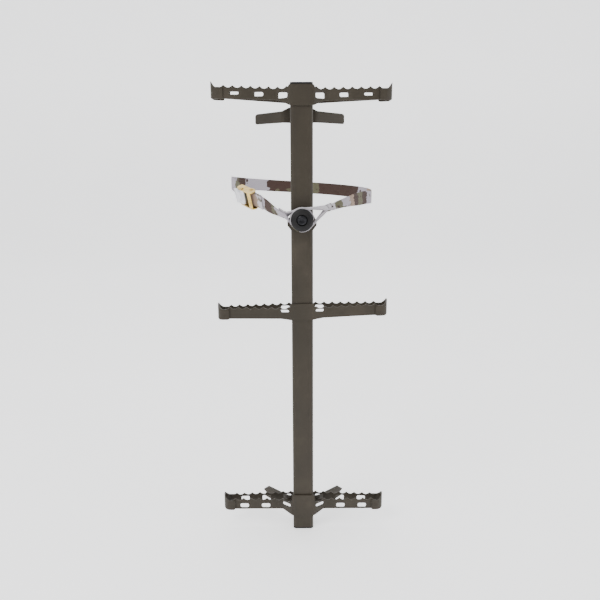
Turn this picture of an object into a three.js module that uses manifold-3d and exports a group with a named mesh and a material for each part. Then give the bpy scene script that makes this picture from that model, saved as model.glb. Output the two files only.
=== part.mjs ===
// One section of a climbing tree stand: a climbing stick. A steel tube carries three double-sided serrated
// steps and two V brackets that bite the trunk. A webbing strap with a cam buckle loops from the strap button
// round the trunk and back. Millimetres, +Z up. The climber stands on the -Y side, the trunk on +Y.
// The origin lies on the trunk's line that the bracket tips touch, about halfway between the brackets.
import * as THREE from 'three';
import { mergeVertices } from 'three/addons/utils/BufferGeometryUtils.js';
import Module from 'manifold-3d';

const wasm = await Module();
wasm.setup();

// ---- driving dimensions ----
const fitGap = 0.3;              // clearance kept between neighbouring solids
const cutFrontY = -130;          // outlines are pushed through from here to here, past every plate
const cutRearY = 20;
const cutMargin = 20;            // and plan shapes are raised this far past both ends of the stick

const stickHeight = 813;
const tubeWidth = 38.1;
const tubeDepth = 38;
const tubeWall = 2;
const tubeCorner = 6;
const tubeRearY = -53.3;         // the tube's rear face; the bracket tips lie at y = 0
const capFlange = 2.5;
const capPlugDepth = 14;

const plateThickness = 2.4;
const stepHalfWidth = 152.5;
const valleyHeight = 17.5;       // bottom of a step arm to the lowest line between its teeth
const toothHeight = 3.5;
const toothPitch = 15;
const firstToothX = 24.5;
const teethPerArm = 8;
const plateEndX = 139.2;
const frontTipY = -79.6;         // front face of the front plate where the end clip holds it
const rearTipY = -57.5;          // rear face of the rear plate there

const collarHalfWidth = 22.2;
const clipStartX = 131;
const clipThickness = 2.2;
const hornHeight = 9.5;
const clipDrop = 1.2;

const originHeight = 392;
const bracketThickness = 3;
const bracketBendX = 29.5;
const bracketTipX = 80;

const buttonHeight = 590;
const coreRadius = 16.5;
const coreRearY = -94.4;
const coreFrontY = -121.2;
const headRadius = 19;
const headFrontY = -127.6;
const boltRadius = 5;

const webbingHalf = 12.5;
const webbingThickness = 2;
const foldedHalf = 6.2;          // the webbing is folded in half where it loops over the button
const foldedThickness = 3.6;
const trunkRadius = 139;
const trunkCentreY = Math.sqrt(trunkRadius ** 2 - bracketTipX ** 2);
const strapRadius = trunkRadius + 1.6;
const leftLoopY = -101.7;
const rightLoopY = -114.5;
const leftReach = 30;            // from the button's axis to where a loop's two legs meet
const rightReach = 44;
const lapLength = 22;
const backLapEnd = 52;           // where the short strap's sewn end stops, along the buckle's u
const tailEnd = 55;              // where the long strap's free tail stops
const leaveEarly = 2;            // degrees of the trunk's round before the buckle's straight line begins

const tubeFrontY = tubeRearY - tubeDepth;

// ---- materials ----
const coat = { color: 0x4d463c, roughness: 0.55, metalness: 0.25 };
const blackPlastic = { color: 0x191817, roughness: 0.45, metalness: 0 };
const zincYellow = { color: 0xc8ab55, roughness: 0.35, metalness: 0.9 };
const brightSteel = { color: 0xb7babd, roughness: 0.3, metalness: 0.95 };
const webbing = { color: 0x8b877c, roughness: 0.85, metalness: 0 };

const stick = new THREE.Group();
stick.position.z = -originHeight;

// ---- solid helpers ----
function toSolid(geometry) {
  const bare = geometry.clone();
  bare.deleteAttribute('normal');
  bare.deleteAttribute('uv');
  const merged = mergeVertices(bare, 1e-4);
  return new wasm.Manifold(new wasm.Mesh({
    numProp: 3,
    vertProperties: new Float32Array(merged.attributes.position.array),
    triVerts: new Uint32Array(merged.index.array),
  }));
}

function toGeometry(solid) {
  const mesh = solid.getMesh();
  const geometry = new THREE.BufferGeometry();
  geometry.setAttribute('position', new THREE.BufferAttribute(mesh.vertProperties, 3));
  geometry.setIndex(new THREE.BufferAttribute(mesh.triVerts, 1));
  geometry.computeVertexNormals();
  return geometry;
}

function addMesh(name, shape, look, parent = stick) {
  const geometry = shape.isBufferGeometry ? shape : toGeometry(shape);
  const mesh = new THREE.Mesh(geometry, new THREE.MeshStandardMaterial(look));
  mesh.name = name;
  parent.add(mesh);
  return mesh;
}

function shapeOf(points) {
  return new THREE.Shape(points.map(([x, y]) => new THREE.Vector2(x, y)));
}

// A plan outline (x, y) raised from one height to another.
function raise(shape, bottom, top) {
  return new THREE.ExtrudeGeometry(shape, { depth: top - bottom, bevelEnabled: false, curveSegments: 6 })
    .translate(0, 0, bottom);
}

// A front outline (x, z) pushed through along y. In the buckle it is a side profile (u, w).
function pushThrough(shape, frontY, rearY) {
  return new THREE.ExtrudeGeometry(shape, { depth: rearY - frontY, bevelEnabled: false, curveSegments: 6 })
    .rotateX(Math.PI / 2)
    .translate(0, rearY, 0);
}

// A profile (radius, distance along -Y) turned about an axis that runs along Y.
function turnAlongY(profile, segments) {
  return new THREE.LatheGeometry(profile.map(([r, d]) => new THREE.Vector2(r, d)), segments)
    .rotateX(Math.PI);
}

function roundedRectangle(halfX, halfY, radius, path = new THREE.Shape()) {
  path.moveTo(halfX - radius, -halfY);
  path.absarc(halfX - radius, -halfY + radius, radius, -Math.PI / 2, 0);
  path.absarc(halfX - radius, halfY - radius, radius, 0, Math.PI / 2);
  path.absarc(-halfX + radius, halfY - radius, radius, Math.PI / 2, Math.PI);
  path.absarc(-halfX + radius, -halfY + radius, radius, Math.PI, 1.5 * Math.PI);
  path.closePath();
  return path;
}

function mirrored(points) {
  return points.map(([x, y]) => [-x, y]);
}

// The corners of a polyline rounded off, each with a short curve that starts reach mm before it.
function roundCorners(points, reach) {
  const out = [points[0]];
  for (let i = 1; i < points.length - 1; i += 1) {
    const corner = new THREE.Vector2(...points[i]);
    const before = new THREE.Vector2(...points[i - 1]).sub(corner);
    const after = new THREE.Vector2(...points[i + 1]).sub(corner);
    const start = corner.clone().add(before.setLength(Math.min(reach, before.length() / 2)));
    const end = corner.clone().add(after.setLength(Math.min(reach, after.length() / 2)));
    const bend = new THREE.QuadraticBezierCurve(start, corner, end);
    out.push(...bend.getPoints(4).map((p) => [p.x, p.y]));
  }
  out.push(points[points.length - 1]);
  return out;
}

// A sheet-metal strip in plan: the outer line, and the same line offset to its left by the thickness.
function stripShape(outer, thickness) {
  const inner = outer.map((point, i) => {
    const here = new THREE.Vector2(...point);
    const before = new THREE.Vector2(...outer[Math.max(i - 1, 0)]);
    const after = new THREE.Vector2(...outer[Math.min(i + 1, outer.length - 1)]);
    const arriving = i > 0 ? here.clone().sub(before).normalize() : after.clone().sub(here).normalize();
    const leaving = i < outer.length - 1 ? after.clone().sub(here).normalize() : arriving;
    const middle = arriving.clone().add(leaving).normalize();
    const left = new THREE.Vector2(-middle.y, middle.x);
    const stretch = thickness / Math.max(0.5, middle.dot(leaving));
    return [here.x + left.x * stretch, here.y + left.y * stretch];
  });
  return shapeOf([...outer, ...inner.reverse()]);
}

// ---- tube, end caps ----
function makeTube() {
  const outline = roundedRectangle(tubeWidth / 2, tubeDepth / 2, tubeCorner);
  const bore = roundedRectangle(
    tubeWidth / 2 - tubeWall, tubeDepth / 2 - tubeWall, tubeCorner - tubeWall, new THREE.Path());
  outline.holes.push(bore);
  const wall = raise(outline, capFlange + fitGap, stickHeight - capFlange - fitGap)
    .translate(0, tubeRearY - tubeDepth / 2, 0);
  const boltHole = new THREE.CylinderGeometry(boltRadius + fitGap, boltRadius + fitGap, tubeDepth + 20, 24)
    .translate(0, tubeRearY - tubeDepth / 2, buttonHeight);
  addMesh('main_tube', toSolid(wall).subtract(toSolid(boltHole)), coat);
}

// The flange covers the tube's end, and the hollow plug behind it grips the bore.
function makeEndCap(name, flangeBottom, plugUp) {
  const halfX = tubeWidth / 2 - tubeWall - fitGap;
  const halfY = tubeDepth / 2 - tubeWall - fitGap;
  const flange = raise(roundedRectangle(tubeWidth / 2, tubeDepth / 2, tubeCorner), 0, capFlange);
  const plug = raise(roundedRectangle(halfX, halfY, tubeCorner - tubeWall), capFlange - 0.5, capPlugDepth);
  const hollow = raise(roundedRectangle(halfX - 2, halfY - 2, 2), capFlange + 1, capPlugDepth + 1);
  let cap = toSolid(flange).add(toSolid(plug)).subtract(toSolid(hollow));
  if (!plugUp) {
    cap = cap.rotate([180, 0, 0]).translate([0, 0, capFlange]);
  }
  const placed = toGeometry(cap).translate(0, tubeRearY - tubeDepth / 2, flangeBottom);
  addMesh(name, placed, blackPlastic);
}

// ---- steps ----
// The toothed upper edge of one arm, from its outer end to the tooth beside the tube.
function toothedEdge() {
  const tipHalf = 0.6;
  const points = [[firstToothX + toothPitch * (teethPerArm - 0.5), valleyHeight]];
  for (let tooth = teethPerArm - 1; tooth >= 0; tooth -= 1) {
    const tipX = firstToothX + toothPitch * tooth;
    if (tooth < teethPerArm - 1) {
      const halfChord = toothPitch / 2 - tipHalf;
      for (let step = 1; step < 6; step += 1) {
        const along = 1 - step / 3;
        const rise = toothHeight * along * along;
        points.push([tipX + toothPitch / 2 + along * halfChord, valleyHeight + rise]);
      }
    } else {
      points.push([tipX + 4, valleyHeight + toothHeight * 0.25]);
    }
    points.push([tipX + tipHalf, valleyHeight + toothHeight]);
    points.push([tipX - tipHalf, valleyHeight + toothHeight]);
  }
  return points;
}

function windowHole(centreX, halfWidth, bottom, top) {
  const start = [centreX, bottom];
  const ring = roundCorners([start, [centreX + halfWidth, bottom], [centreX + halfWidth, top],
    [centreX - halfWidth, top], [centreX - halfWidth, bottom], start], 3.2);
  return new THREE.Path(ring.slice(0, -1).map(([x, y]) => new THREE.Vector2(x, y)));
}

// An outline from its right half, which runs from the bottom centre to the top centre.
function wholeOutline(rightHalf, windows, heightAt) {
  const lift = ([x, z]) => [x, z + heightAt(x)];
  const shape = shapeOf([...rightHalf, ...mirrored(rightHalf).reverse()].map(lift));
  for (const side of [1, -1]) {
    for (const [x, half, low, high] of windows) {
      const bottom = heightAt(side * x);
      shape.holes.push(windowHole(side * x, half, low + bottom, high + bottom));
    }
  }
  return shape;
}

function makePlate(name, planLine, outline) {
  const planShape = stripShape(planLine, plateThickness);
  const strip = toSolid(raise(planShape, -cutMargin, stickHeight + cutMargin));
  const front = toSolid(pushThrough(outline, cutFrontY, cutRearY));
  addMesh(name, strip.intersect(front), coat);
}

// Each arm's windows: centre x, half width, bottom and top.
const rearWindows = [[31.2, 7.8, 3, 15.8], [71.5, 8, 3.2, 15.4], [112.5, 8, 3.6, 15.2]];

// Every step stands at its own height. The top one's arms rise outwards, and two are a little out of level.
const steps = {
  top: {
    bottom: 785, rise: 0.025, tilt: -0.012, collarDip: 8.5, collarTop: 24, flare: [39.5, frontTipY],
    rearDip: 1.8, frontWindows: [[31.2, 7.8, 2.8, 12.6], [71.5, 8, 5.1, 11.9], [112.5, 8, 6.6, 11.2]],
  },
  middle: {
    bottom: 414.4, rise: 0, tilt: 0.022, collarDip: 2.5, collarTop: 26.8, flare: [27, -91.6],
    rearDip: 0, frontWindows: [[31.2, 7.4, 11.6, 16.4]],
  },
  bottom: {
    bottom: 35.2, rise: 0, tilt: 0, collarDip: 6, collarTop: 36, flare: [39.5, frontTipY],
    rearDip: 0, frontWindows: [[31.2, 7.4, 9, 16], [71.5, 8, 2.2, 11.2], [112.5, 8, 2.2, 11.2]],
  },
};
const collarFrontY = tubeFrontY - fitGap - plateThickness;
const rearRootY = tubeRearY + fitGap + plateThickness;

function armHeight(step) {
  return (x) => step.bottom + step.tilt * x + step.rise * Math.max(0, Math.abs(x) - collarHalfWidth);
}

function makeFrontPlate(level) {
  const step = steps[level];
  const bend = collarHalfWidth - 1.4;
  const right = [[bend, collarFrontY], step.flare, [128, frontTipY], [plateEndX, frontTipY]];
  const line = roundCorners([...mirrored(right).reverse(), ...right], 4);
  const smile = [[0, -step.collarDip - 0.9], [8, -step.collarDip - 0.75], [15, -step.collarDip - 0.4],
    [bend, -step.collarDip + 0.3]];
  const rightHalf = [...smile, [38, 0], [plateEndX, 0], [plateEndX, valleyHeight], ...toothedEdge(),
    [collarHalfWidth, valleyHeight + toothHeight - 0.8], [collarHalfWidth - 1, step.collarTop - 1.2],
    [collarHalfWidth - 2.4, step.collarTop], [0, step.collarTop]];
  makePlate(`${level}_step_front`, line, wholeOutline(rightHalf, step.frontWindows, armHeight(step)));
}

function makeRearPlate(level) {
  const step = steps[level];
  const right = [[23, rearRootY], [118.5, rearTipY], [plateEndX, rearTipY]];
  const line = roundCorners([...mirrored(right).reverse(), ...right], 4)
    .map(([x, y]) => [x, y - plateThickness]);
  const rightHalf = [[0, -step.rearDip], [20, -step.rearDip], [plateEndX, step.rearDip],
    [plateEndX, valleyHeight], ...toothedEdge(), [20, valleyHeight + 1], [0, valleyHeight]];
  const windows = level === 'middle' ? rearWindows.slice(0, 1) : rearWindows;
  makePlate(`${level}_step_rear`, line, wholeOutline(rightHalf, windows, armHeight(step)));
}

// A U-shaped clip closes the gap between the two plates and rises into a horn that keeps a boot on the step.
function makeEndClip(name, level, side) {
  const outerFront = frontTipY - fitGap - clipThickness;
  const outerRear = rearTipY + fitGap + clipThickness;
  const noseRadius = (outerRear - outerFront) / 2;
  const noseCentre = stepHalfWidth - noseRadius;
  const middleY = (outerRear + outerFront) / 2;
  const line = [[clipStartX, outerFront]];
  const noseSteps = 12;
  for (let i = 0; i <= noseSteps; i += 1) {
    const angle = -Math.PI / 2 + (Math.PI * i) / noseSteps;
    line.push([noseCentre + noseRadius * Math.cos(angle), middleY + noseRadius * Math.sin(angle)]);
  }
  line.push([clipStartX, outerRear]);
  const height = armHeight(steps[level]);
  const hornBase = stepHalfWidth - 11;
  const outline = [[clipStartX, 0], [clipStartX + 2.5, -clipDrop], [stepHalfWidth - 4, -clipDrop],
    [stepHalfWidth - 1.2, -clipDrop + 1.2], [stepHalfWidth + 1, -clipDrop + 4],
    [stepHalfWidth + 1, valleyHeight + hornHeight], [stepHalfWidth - 1.2, valleyHeight + hornHeight]];
  for (let i = 1; i <= 6; i += 1) {
    const out = 1 - i / 6;
    outline.push([hornBase + (stepHalfWidth - 1.2 - hornBase) * out, valleyHeight + hornHeight * out * out]);
  }
  outline.push([clipStartX, valleyHeight]);
  const band = toSolid(raise(stripShape(line, clipThickness), -cutMargin, stickHeight + cutMargin));
  const placed = shapeOf(outline.map(([x, z]) => [x, z + height(side * x)]));
  const front = toSolid(pushThrough(placed, cutFrontY, cutRearY));
  let clip = band.intersect(front);
  if (side < 0) {
    clip = clip.mirror([1, 0, 0]);
  }
  addMesh(name, clip, coat);
}

// ---- V brackets ----
// A folded plate whose arms sweep back and out to bite the trunk. The right half of its outline runs from the
// bottom centre to the top centre. The top bracket is welded on a little to the left.
const brackets = {
  bottom: {
    webFrontY: rearRootY + fitGap, centre: 31.5, aside: 0,
    rightHalf: [[0, 1], [31, 1], [44, 1.5], [66, -12], [78.5, -10.5], [74.5, -2], [80, 1.6], [69, 13.4],
      [0, 13.4]],
  },
  top: {
    webFrontY: tubeRearY + fitGap, centre: 761.3, aside: -3,
    rightHalf: [[0, -10.5], [bracketBendX, -9.5], [77, -8.8], [79.2, -8], [80, -5.8], [80, 5], [78.8, 7.6],
      [76, 8.8], [30.5, 9.5], [18.5, 15.2], [0, 15.2]],
  },
};

function makeBracket(level) {
  const { webFrontY, centre, aside, rightHalf } = brackets[level];
  const tipFrontY = -bracketThickness * Math.SQRT2;
  const right = [[bracketBendX, webFrontY], [bracketTipX + 2, tipFrontY + 2]];
  const line = roundCorners([...mirrored(right).reverse(), ...right], 5);
  const strip = toSolid(raise(stripShape(line, bracketThickness), -cutMargin, stickHeight + cutMargin));
  const front = toSolid(pushThrough(wholeOutline(rightHalf, [], () => centre), cutFrontY, cutRearY));
  addMesh(`${level}_bracket`, strip.intersect(front).translate([aside, 0, 0]), coat);
}

// ---- strap button ----
function makeButton() {
  const boltClear = boltRadius + fitGap;
  const wing = [[19, -19], [25, -11], [25, -4], [17, 12]];
  const guide = shapeOf([...wing, ...mirrored(wing).reverse()]);
  guide.holes.push(new THREE.Path().absarc(0, 0, boltClear, 0, 2 * Math.PI));
  const guideRear = tubeFrontY - fitGap;
  const guidePlate = pushThrough(guide, coreRearY + fitGap, guideRear).translate(0, 0, buttonHeight);
  addMesh('strap_guide_plate', guidePlate, coat);

  // Lathe profiles run forward from each piece's rear face.
  const coreLength = coreRearY - coreFrontY;
  const core = turnAlongY([[boltClear, 0], [coreRadius, 0], [coreRadius, coreLength], [boltClear, coreLength],
    [boltClear, 0]], 40);
  addMesh('button_core', core.translate(0, coreRearY, buttonHeight), blackPlastic);

  const headDepth = coreFrontY - fitGap - headFrontY;
  const dome = [];
  for (let i = 0; i <= 5; i += 1) {
    const angle = (Math.PI / 2) * (i / 5);
    dome.push([9.6 + (headRadius - 9.6) * Math.cos(angle), 2.2 + (headDepth - 2.2) * Math.sin(angle)]);
  }
  const recess = headDepth - 3.2;
  const head = turnAlongY([[boltClear, 0], [headRadius - 1, 0], [headRadius, 1], ...dome, [9, recess],
    [boltClear, recess], [boltClear, 0]], 48);
  addMesh('button_head', head.translate(0, coreFrontY - fitGap, buttonHeight), blackPlastic);

  const boltEnd = tubeRearY + 12.5;
  const shank = boltEnd - (headFrontY + 3.2 - fitGap);
  const bolt = turnAlongY([[0, 0], [boltRadius - 0.8, 0], [boltRadius, 0.8], [boltRadius, shank],
    [8.4, shank], [8.4, shank + 1.2], [6.6, shank + 2.6], [3.4, shank + 2.6], [3.4, shank + 0.8],
    [0, shank + 0.8]], 24);
  addMesh('button_bolt', bolt.translate(0, boltEnd, buttonHeight), blackPlastic);

  const washer = turnAlongY([[boltClear, 0], [10, 0], [10, 1.6], [boltClear, 1.6], [boltClear, 0]], 32);
  addMesh('button_washer', washer.translate(0, tubeRearY + fitGap + 1.6, buttonHeight), brightSteel);

  const nutRear = tubeRearY + fitGap * 2 + 1.6 + 8;
  const hexagon = turnAlongY([[0, 0], [8, 0], [9.2, 1.2], [9.2, 8], [0, 8]], 6)
    .translate(0, nutRear, buttonHeight);
  const thread = new THREE.CylinderGeometry(boltClear, boltClear, 40, 24).translate(0, nutRear, buttonHeight);
  addMesh('button_lock_nut', toSolid(hexagon).subtract(toSolid(thread)), brightSteel);
}

// ---- cam buckle ----
// A straight strap from a point beside the button touches the trunk at this angle, counted from the +X side.
function touchAngle(x, y) {
  const toCentre = new THREE.Vector2(-x, trunkCentreY - y);
  return toCentre.angle() - Math.asin(strapRadius / toCentre.length()) - Math.PI / 2;
}

function degrees(angle) {
  return THREE.MathUtils.degToRad(angle);
}

// The strap leaves the button at these angles above the horizontal.
const leftClimb = degrees(12);
const rightClimb = degrees(23);
const leftTurn = 0.75;           // share of a quarter turn that the webbing has made where the legs meet
const rightTurn = 0.45;
const leftMeet = new THREE.Vector3(
  -leftReach * Math.cos(leftClimb), leftLoopY, buttonHeight + leftReach * Math.sin(leftClimb));
const rightMeet = new THREE.Vector3(
  rightReach * Math.cos(rightClimb), rightLoopY, buttonHeight + rightReach * Math.sin(rightClimb));
const leftTouch = touchAngle(-leftMeet.x, leftMeet.y);
const rightTouch = touchAngle(rightMeet.x, rightMeet.y);

// The buckle's own axes: u along the strap towards the button, v across the webbing, w away from the trunk.
const buckleRoll = degrees(18);
const buckleClimb = degrees(11);
const strapClimb = degrees(13);  // of the taut webbing between the buckle and the button
const headingDown = (climb) => new THREE.Vector3(
  -Math.sin(leftTouch) * Math.cos(climb), -Math.cos(leftTouch) * Math.cos(climb), -Math.sin(climb));
const along = headingDown(buckleClimb);
const outward = new THREE.Vector3(-Math.cos(leftTouch), Math.sin(leftTouch), 0);
const across = new THREE.Vector3().crossVectors(outward, along);
across.applyAxisAngle(along, buckleRoll);
outward.applyAxisAngle(along, buckleRoll);

const strapLine = 3.2;           // height of the webbing's middle above the base plate's rear face
const buckleDistance = 130;      // from where the loop's legs meet
const buckle = new THREE.Group();
buckle.quaternion.setFromRotationMatrix(new THREE.Matrix4().makeBasis(along, across, outward));
buckle.position.copy(leftMeet)
  .addScaledVector(headingDown(strapClimb), -buckleDistance)
  .addScaledVector(outward, -strapLine);
stick.add(buckle);

const frameInside = 14.4;        // half the room between the side walls
const frameWall = 1.8;
const sideStart = -27;           // the side walls' ends along u, and their height
const sideEnd = 31;
const sideHeight = 16;
const pinAt = { u: -7, w: 11.2 };
const barAt = { u: 15, w: 3.2 };
const pinRadius = 2;
const barRadius = 2.5;
const pinHalfLength = 17.8;
const rivetHead = 3.5;
const lapStep = webbingThickness + fitGap;

// A pin across the buckle with a riveted head outside each side wall.
function pinAlongV(radius, place) {
  const headStart = frameInside + frameWall + fitGap;
  const half = [[radius, headStart], [rivetHead, headStart], [rivetHead - 0.8, pinHalfLength],
    [0, pinHalfLength]];
  const profile = [...half.map(([r, v]) => [r, -v]).reverse(), ...half];
  return new THREE.LatheGeometry(profile.map(([r, v]) => new THREE.Vector2(r, v)), 20)
    .translate(place.u, 0, place.w);
}

function makeBuckleFrame() {
  const side = new THREE.Shape();
  side.moveTo(sideStart, 0);
  side.lineTo(sideStart, 6);
  side.quadraticCurveTo(sideStart + 2, sideHeight - 1, -14, sideHeight);
  side.lineTo(24, sideHeight);
  side.quadraticCurveTo(sideEnd, sideHeight, sideEnd, 7);
  side.lineTo(26, 0);
  side.quadraticCurveTo(16, -4.4, 6, 0);
  side.closePath();
  for (const [place, radius] of [[pinAt, pinRadius], [barAt, barRadius]]) {
    side.holes.push(new THREE.Path().absarc(place.u, place.w, radius + fitGap, 0, 2 * Math.PI));
  }
  const outer = frameInside + frameWall;
  const nearWall = toSolid(pushThrough(side, frameInside, outer));
  const farWall = toSolid(pushThrough(side, -outer, -frameInside));
  const baseSide = shapeOf([[sideStart, 0], [6, 0], [6, frameWall], [sideStart, frameWall]]);
  const base = toSolid(pushThrough(baseSide, -outer, outer));
  const bridgeSide = shapeOf([[19, 13.6], [28, 13.6], [27, 15], [24, sideHeight], [19, sideHeight]]);
  const bridge = toSolid(pushThrough(bridgeSide, -outer, outer));
  addMesh('buckle_frame', nearWall.add(farWall).add(base).add(bridge), zincYellow, buckle);
}

// The thumb plate presses in to lift the toothed lobe off the webbing.
function makeCamLever() {
  const hubHalf = 13.6;
  const thumb = shapeOf([[-29, 18], [-28, 15.8], [-14, 10.6], [-7, 7.4], [-2.6, 11], [-4, 15.4], [-12, 16]]);
  const hub = new THREE.Shape();
  hub.absarc(pinAt.u, pinAt.w, 4.4, 0, 1.25 * Math.PI);
  hub.lineTo(pinAt.u + 0.2, strapLine + 1.35);
  for (let tooth = 0; tooth < 3; tooth += 1) {
    const u = pinAt.u + 0.9 + tooth * 1.3;
    hub.lineTo(u, strapLine + 1.9 + tooth * 0.35);
    hub.lineTo(u + 0.6, strapLine + 1.35 + tooth * 0.4);
  }
  hub.closePath();
  const plate = toSolid(pushThrough(thumb, -hubHalf, hubHalf));
  const lobe = toSolid(pushThrough(hub, -hubHalf, hubHalf));
  const bore = new THREE.CylinderGeometry(pinRadius + 0.25, pinRadius + 0.25, 40, 20)
    .translate(pinAt.u, 0, pinAt.w);
  const springRoom = new THREE.CylinderGeometry(3.7, 3.7, 9, 20).translate(pinAt.u, 5.5, pinAt.w);
  const lever = plate.add(lobe).subtract(toSolid(bore)).subtract(toSolid(springRoom));
  addMesh('cam_lever', lever, brightSteel, buckle);
}

function makeCamSpring() {
  const wire = 0.45;
  const turns = 6;
  const coilRadius = pinRadius + 0.35 + wire;
  const points = [];
  const perTurn = 12;
  const firstTurnAt = 2;
  const pitch = 1.15;
  for (let i = 0; i <= turns * perTurn; i += 1) {
    const angle = (2 * Math.PI * i) / perTurn;
    const u = pinAt.u + coilRadius * Math.cos(angle);
    const w = pinAt.w + coilRadius * Math.sin(angle);
    points.push(new THREE.Vector3(u, firstTurnAt + (i / perTurn) * pitch, w));
  }
  const section = new THREE.Shape().absarc(0, 0, wire, 0, 2 * Math.PI);
  const extrudePath = new THREE.CatmullRomCurve3(points);
  const coil = new THREE.ExtrudeGeometry(
    section, { steps: turns * perTurn, curveSegments: 3, bevelEnabled: false, extrudePath });
  addMesh('cam_spring', coil, brightSteel, buckle);
}

// ---- webbing ----
// A station is a point of the strap's middle line, its upper edge's direction, half width and thickness.
function station(point, edge, half = webbingHalf, thickness = webbingThickness) {
  return { point, edge, half, thickness };
}

function inBuckle(u, w) {
  return new THREE.Vector3(u, 0, w).applyQuaternion(buckle.quaternion).add(buckle.position);
}

// The strip's frame at one station: forward along the strap, edge to its upper edge, normal out of its face.
function frameAt(stations, i) {
  const before = stations[Math.max(i - 1, 0)].point;
  const after = stations[Math.min(i + 1, stations.length - 1)].point;
  const forward = after.clone().sub(before).normalize();
  const edge = stations[i].edge.clone().addScaledVector(forward, -stations[i].edge.dot(forward)).normalize();
  return { forward, edge, normal: new THREE.Vector3().crossVectors(forward, edge) };
}

function stripGeometry(stations) {
  const geometry = new THREE.BoxGeometry(1, 1, 1, stations.length - 1, 1, 1);
  const position = geometry.attributes.position;
  for (let k = 0; k < position.count; k += 1) {
    const i = Math.round((position.getX(k) + 0.5) * (stations.length - 1));
    const { edge, normal } = frameAt(stations, i);
    const { point, half, thickness } = stations[i];
    const corner = point.clone()
      .addScaledVector(edge, position.getY(k) * 2 * half)
      .addScaledVector(normal, position.getZ(k) * thickness);
    position.setXYZ(k, corner.x, corner.y, corner.z);
  }
  return toGeometry(toSolid(geometry));
}

function blendEdges(first, last, turn) {
  return first.clone().multiplyScalar(Math.cos((turn * Math.PI) / 2))
    .addScaledVector(last, Math.sin((turn * Math.PI) / 2)).normalize();
}

// The angle round the button's axis at which a leg from this point first touches a circle of this radius.
function contactAngle(point, radius, side) {
  const rise = point.z - buttonHeight;
  return Math.atan2(rise, point.x) + side * Math.acos(radius / Math.hypot(point.x, rise));
}

// A folded webbing loop over the button: along the upper leg, round the core and back along the lower leg.
// turning is 1 clockwise and -1 anticlockwise, seen from the front. The webbing lies flat on the core,
// and each leg twists on its way to where the legs meet.
function buttonLoop(loopY, turning, coreEdge, meetEdge, legStart, legEnd) {
  const radius = coreRadius + fitGap + foldedThickness / 2;
  const first = contactAngle(legStart, radius, -turning);
  const last = contactAngle(legEnd, radius, turning);
  const sweep = THREE.MathUtils.euclideanModulo(turning * (first - last), 2 * Math.PI);
  const loopSteps = 16;
  const onCore = [];
  for (let i = 0; i <= loopSteps; i += 1) {
    const angle = first - turning * sweep * (i / loopSteps);
    onCore.push(station(
      new THREE.Vector3(radius * Math.cos(angle), loopY, buttonHeight + radius * Math.sin(angle)),
      coreEdge, foldedHalf, foldedThickness));
  }
  const legSteps = 7;
  const leg = (leaves, meets) => {
    const stations = [];
    for (let i = 1; i < legSteps; i += 1) {
      const t = i / legSteps;
      const edge = coreEdge.clone().lerp(meetEdge, t * t).normalize();
      stations.push(station(leaves.clone().lerp(meets, t), edge, foldedHalf, foldedThickness));
    }
    return stations;
  };
  return [
    ...leg(onCore[0].point, legStart).reverse(),
    ...onCore,
    ...leg(onCore[loopSteps].point, legEnd),
  ];
}

// The run from where a loop's legs meet to the far point: the webbing unfolds and turns onto its edge.
function openRun(curve, firstEdge, lastEdge, firstTurn, steps) {
  const stations = [];
  for (let i = 0; i <= steps; i += 1) {
    const spread = THREE.MathUtils.smoothstep(i / steps, 0, 0.85);
    stations.push(station(
      curve.getPointAt(i / steps),
      blendEdges(firstEdge, lastEdge, firstTurn + (1 - firstTurn) * spread),
      foldedHalf + (webbingHalf - foldedHalf) * spread,
      foldedThickness + (webbingThickness - foldedThickness) * spread));
  }
  return stations;
}

// The sewn end of a loop lies on the run, one layer further out along its normal.
function lapOn(run, length, offset) {
  const lap = [];
  for (let i = 0; i < run.length; i += 1) {
    if (run[i].point.distanceTo(run[0].point) > length) break;
    const { edge, normal } = frameAt(run, i);
    lap.push({ ...run[i], point: run[i].point.clone().addScaledVector(normal, offset), edge });
  }
  return lap;
}

function bezier(start, startHeading, end, endHeading, pull) {
  return new THREE.CubicBezierCurve3(
    start, start.clone().addScaledVector(startHeading, pull),
    end.clone().addScaledVector(endHeading, -pull), end);
}

function makeShortStrap() {
  const front = new THREE.Vector3(0, -1, 0);
  const upperLayer = strapLine + lapStep / 2;
  const lowerLayer = strapLine - lapStep / 2;
  const arrive = inBuckle(backLapEnd + 6, upperLayer);
  const towards = headingDown(strapClimb).negate();
  const leaving = new THREE.Vector3(-Math.cos(leftClimb), 0, Math.sin(leftClimb)).add(towards).normalize();
  const run = openRun(bezier(leftMeet, leaving, arrive, towards, 12), front, across, leftTurn, 12);
  const lap = lapOn(run, lapLength, foldedThickness + fitGap).reverse();
  const lapEnd = lap[lap.length - 1].point;
  const loop = buttonLoop(leftLoopY, 1, front, run[0].edge, lapEnd, leftMeet);

  // Round the buckle's bar and back under itself.
  const fold = barRadius + fitGap + webbingThickness / 2;
  const around = [];
  for (let i = 0; i <= 8; i += 1) {
    const angle = degrees(75 + 210 * (i / 8));
    const u = barAt.u + fold * Math.cos(angle);
    const w = barAt.w + fold * Math.sin(angle);
    around.push(station(inBuckle(u, w), across));
  }
  const back = [[24, 0.9], [31, lowerLayer], [40, lowerLayer], [backLapEnd, lowerLayer]];
  const lead = [[44, upperLayer], [31, upperLayer], [24, 5.3]];
  const flat = ([u, w]) => station(inBuckle(u, w), across);
  const stations = [...lap, ...loop, ...run, ...lead.map(flat), ...around, ...back.map(flat)];
  addMesh('short_strap', stripGeometry(stations), webbing);
}

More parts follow.
